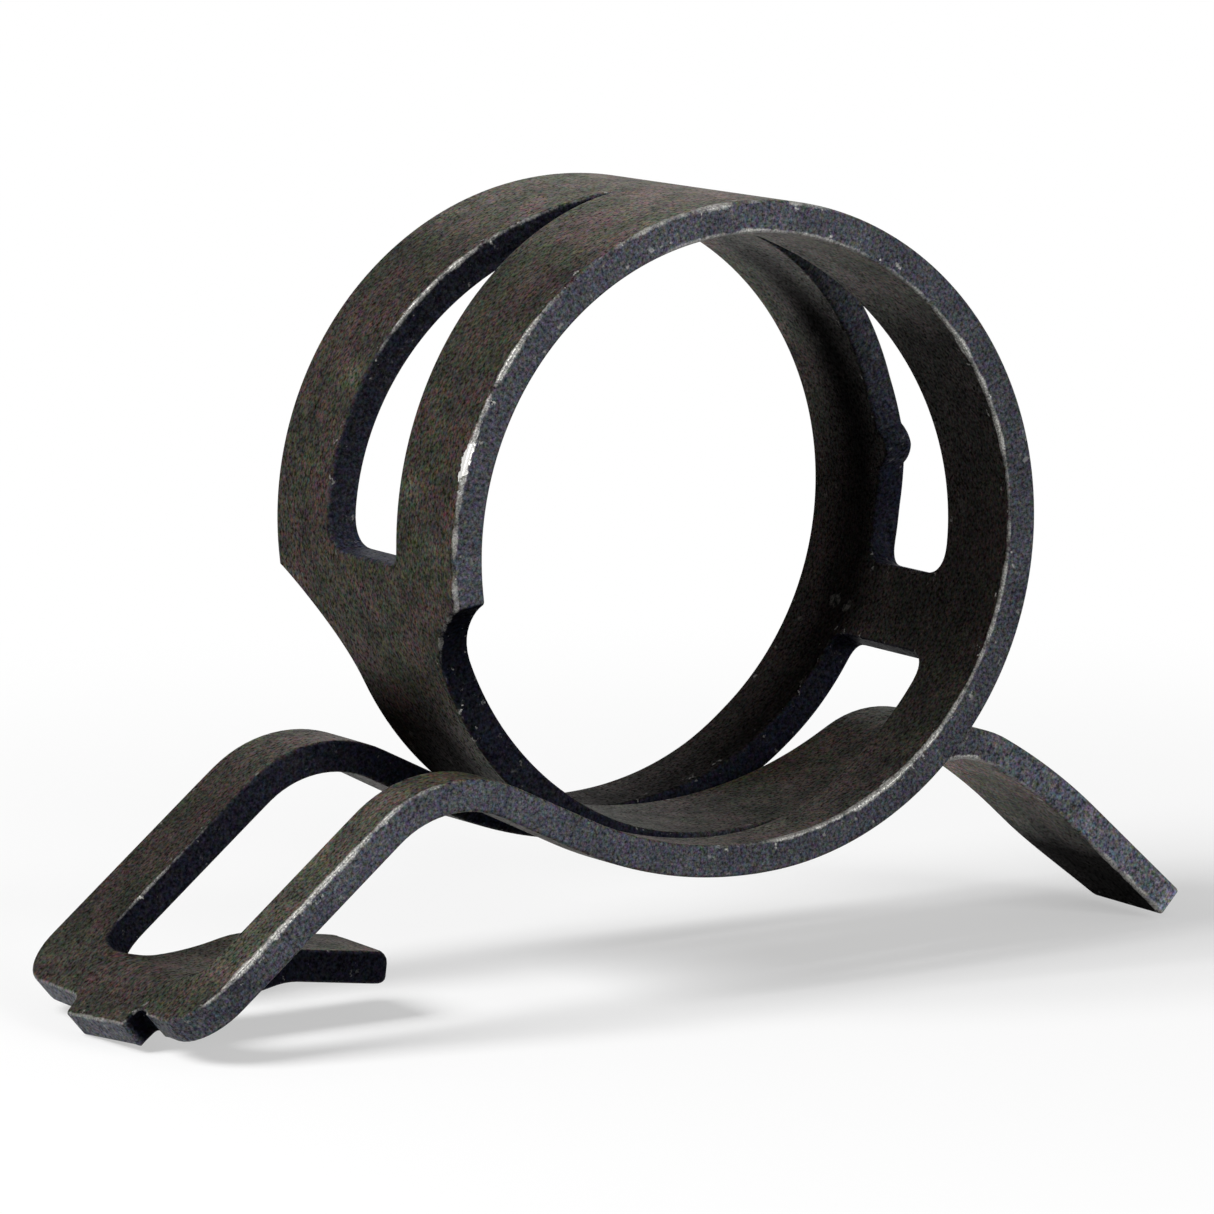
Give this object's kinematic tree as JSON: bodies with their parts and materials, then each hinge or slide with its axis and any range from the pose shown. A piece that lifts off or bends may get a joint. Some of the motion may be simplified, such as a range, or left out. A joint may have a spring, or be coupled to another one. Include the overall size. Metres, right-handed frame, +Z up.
{
  "type": "spring band hose clamp",
  "caption": "One-piece spring band hose clamp: a slotted steel ring whose tongue passes through a forked arm, with two ears that are squeezed together to open it.",
  "frame": {"origin": "on the level that both ears stand on, under the middle of the whole clamp's box", "axes": "+Z up, from the ears to the ring's crown; Y along the ring's axis, -Y towards the edge with the shorter shoulder fillet; X from the forked ear (-X) to the tongue's ear (+X)"},
  "size_m": [0.04, 0.012, 0.0257],
  "materials": {
    "black_spring_steel": "black phosphate and oil, satin, lighter where the edges are worn"
  },
  "bodies": {
    "crown": {"crown_band": "black_spring_steel"},
    "left_shoulder": {"left_rail_front": "black_spring_steel", "left_rail_back": "black_spring_steel"},
    "tongue_arm": {"tongue_side": "black_spring_steel"},
    "right_shoulder": {"right_rail_front": "black_spring_steel", "right_rail_back": "black_spring_steel"},
    "fork_arm": {"fork_side": "black_spring_steel"}
  },
  "joints": [
    {"name": "left_inner_flex", "type": "hinge", "parent": "crown", "child": "left_shoulder", "pos_m": [-0.00256, 0, 0.02449], "axis": [0, 1, 0], "range_deg": [0, 5.25], "stiffness_Nm_per_rad": 20},
    {"name": "left_outer_flex", "type": "hinge", "parent": "left_shoulder", "child": "tongue_arm", "pos_m": [-0.00771, 0, 0.02004], "axis": [0, 1, 0], "range_deg": [0, 5.25], "stiffness_Nm_per_rad": 20},
    {"name": "right_inner_flex", "type": "hinge", "parent": "crown", "child": "right_shoulder", "pos_m": [0.00751, 0, 0.02307], "axis": [0, -1, 0], "range_deg": [0, 5.25], "stiffness_Nm_per_rad": 20},
    {"name": "right_outer_flex", "type": "hinge", "parent": "right_shoulder", "child": "fork_arm", "pos_m": [0.01125, 0, 0.01738], "axis": [0, -1, 0], "range_deg": [0, 5.25], "stiffness_Nm_per_rad": 20}
  ],
  "couplings": [
    {"joint": "left_outer_flex", "follows": "left_inner_flex", "ratio": 1},
    {"joint": "right_inner_flex", "follows": "left_inner_flex", "ratio": 1},
    {"joint": "right_outer_flex", "follows": "left_inner_flex", "ratio": 1}
  ]
}
